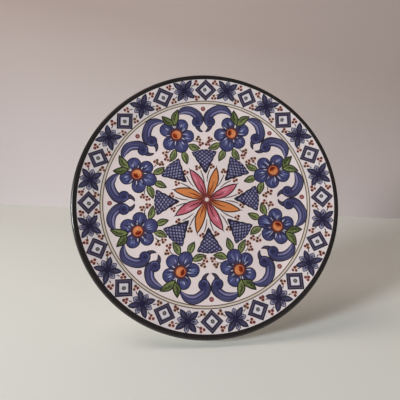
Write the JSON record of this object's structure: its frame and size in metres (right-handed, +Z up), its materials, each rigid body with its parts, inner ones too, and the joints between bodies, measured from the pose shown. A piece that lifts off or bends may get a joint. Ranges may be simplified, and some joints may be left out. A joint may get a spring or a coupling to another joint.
{
  "type": "ceramic wall plate",
  "caption": "Round glazed ceramic wall plate with a sloping rim, a rounded lip and a foot ring pierced for a hanging wire, painted with blue flowers, scrolls and a bordered rim.",
  "frame": {"origin": "on the flat of the foot ring at the top of the plate, midway between the two wire holes, where the plate hangs against the wall", "axes": "+Z up, +Y into the wall, so the painted face looks along -Y, +X to the right of someone facing the plate"},
  "size_m": [0.28, 0.0216, 0.28],
  "materials": {
    "painted_glaze": "gloss"
  },
  "bodies": {
    "root": {"plate": "painted_glaze"}
  },
  "joints": []
}
